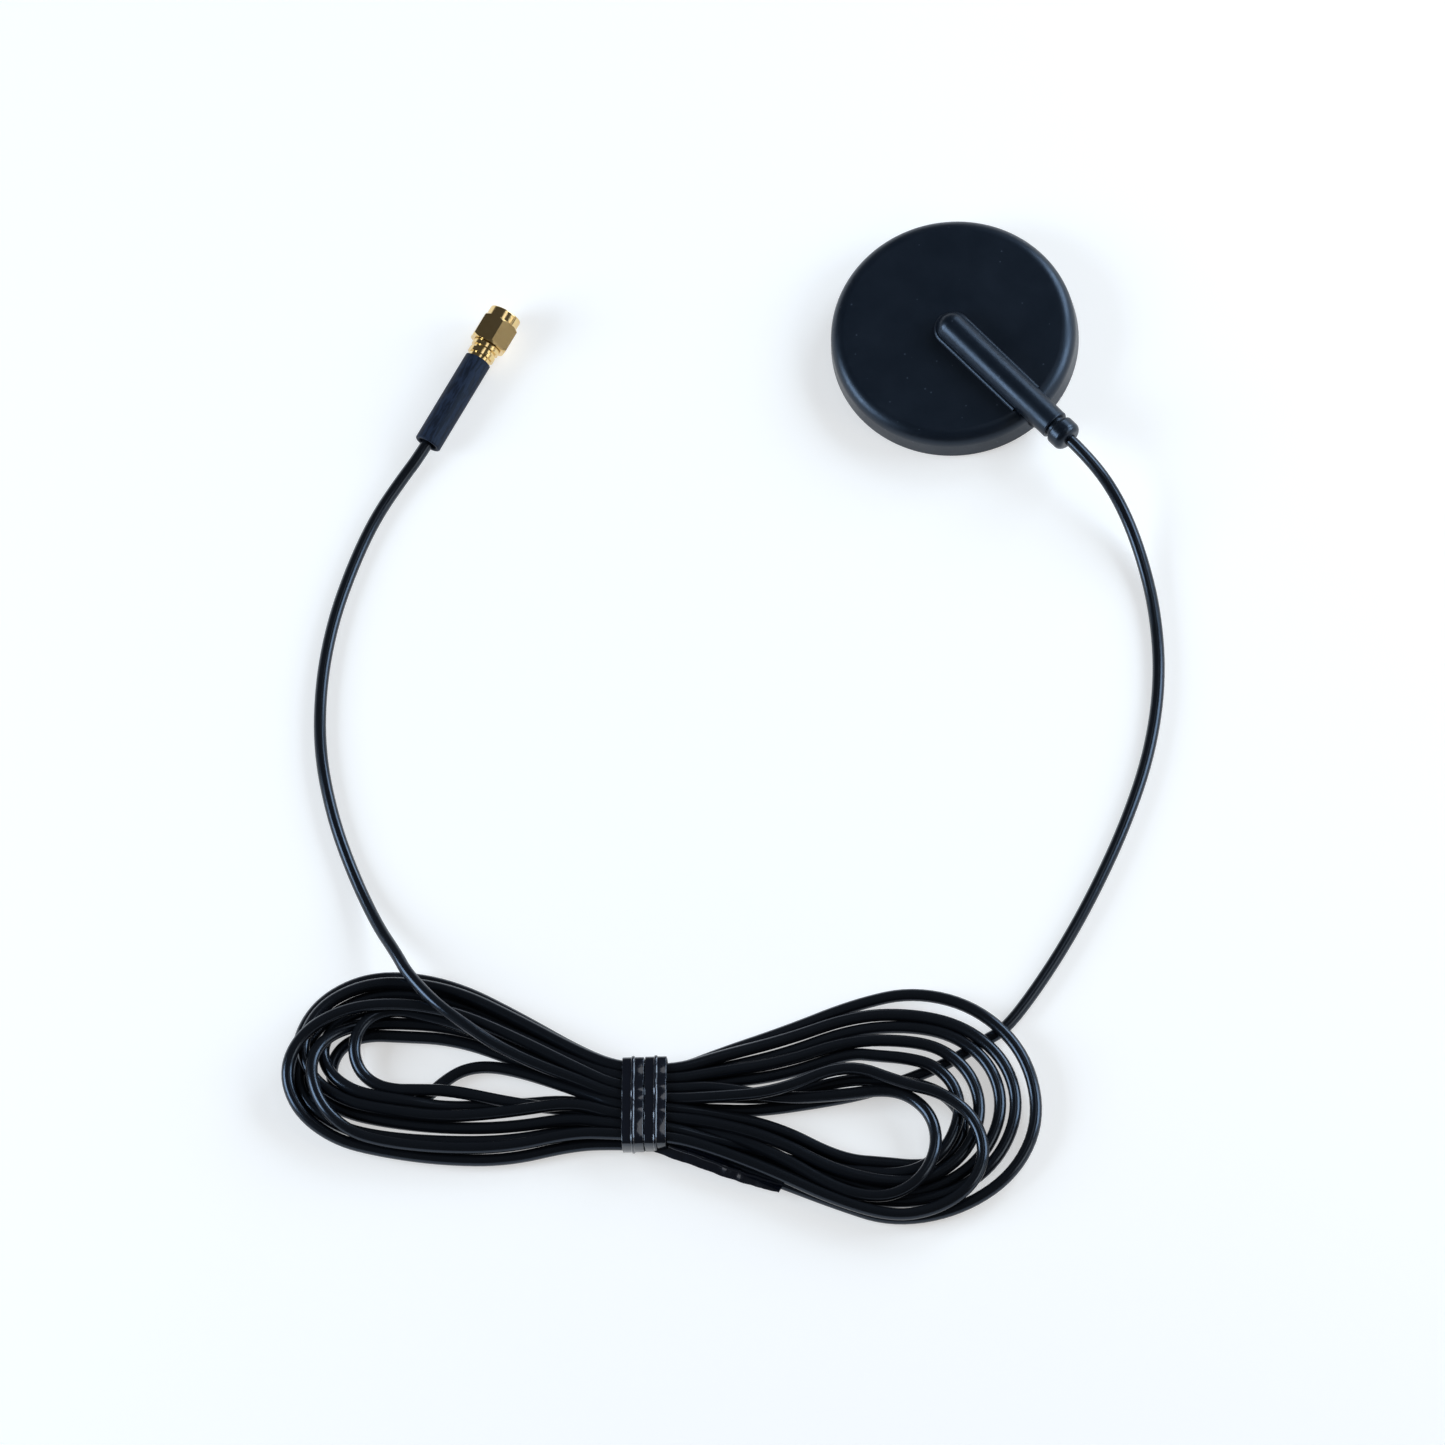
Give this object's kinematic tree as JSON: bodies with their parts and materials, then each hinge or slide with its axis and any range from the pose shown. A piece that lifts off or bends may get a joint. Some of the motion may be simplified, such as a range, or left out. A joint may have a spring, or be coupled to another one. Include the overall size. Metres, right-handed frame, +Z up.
{
  "type": "cellular antenna",
  "caption": "Low disc-shaped stick-on antenna with a moulded cable channel, a long thin coaxial lead tied in a hank and a screw-on coaxial plug with a turning hexagonal nut.",
  "frame": {"origin": "centre of the disc's flat mounting face, on the adhesive pad's underside", "axes": "+Z up, away from the mounting face; +X along the moulded cable channel towards the place where the lead leaves the disc"},
  "size_m": [0.2313, 0.2536, 0.0125],
  "materials": {
    "cover_plastic": "satin black",
    "base_plastic": "matte black",
    "pad_foam": "soft matte",
    "board_laminate": "glossy green",
    "copper": "bright",
    "screw_steel": "bright",
    "lead_jacket": "glossy black",
    "braid_wire": "tinned",
    "lead_dielectric": "milky white",
    "solder": "bright",
    "relief_rubber": "satin black",
    "sleeve_plastic": "matte blue-black",
    "gold_plate": "bright gold plate",
    "white_insulator": "satin white",
    "seal_rubber": "matte",
    "tie_plastic": "satin blue-black"
  },
  "bodies": {
    "antenna": {"top_cover": "cover_plastic", "base_cover": "base_plastic", "adhesive_pad": "pad_foam", "antenna_board": "board_laminate", "radiator_trace": "copper", "ground_pad": "copper", "board_screws": "screw_steel", "feed_jacket": "lead_jacket", "feed_braid": "braid_wire", "feed_dielectric": "lead_dielectric", "feed_core": "copper", "solder_joints": "solder", "cable_stop": "screw_steel", "strain_relief": "relief_rubber", "heat_shrink": "sleeve_plastic", "crimp_ferrule": "gold_plate", "connector_body": "gold_plate", "insulator": "white_insulator", "center_pin": "gold_plate", "plug_dielectric": "lead_dielectric", "plug_core": "copper", "plug_braid": "braid_wire", "retaining_ring": "copper", "gasket": "seal_rubber", "cable_antenna_run": "lead_jacket", "cable_hank": "lead_jacket", "twist_tie": "tie_plastic", "cable_connector_run": "lead_jacket"},
    "coupling_nut": {"coupling_nut": "gold_plate"}
  },
  "joints": [
    {"name": "nut_spin", "type": "hinge", "parent": "antenna", "child": "coupling_nut", "pos_m": [-0.07022, -0.07401, 0.00438], "axis": [-0.292, 0.955, 0.0523], "continuous": true}
  ]
}
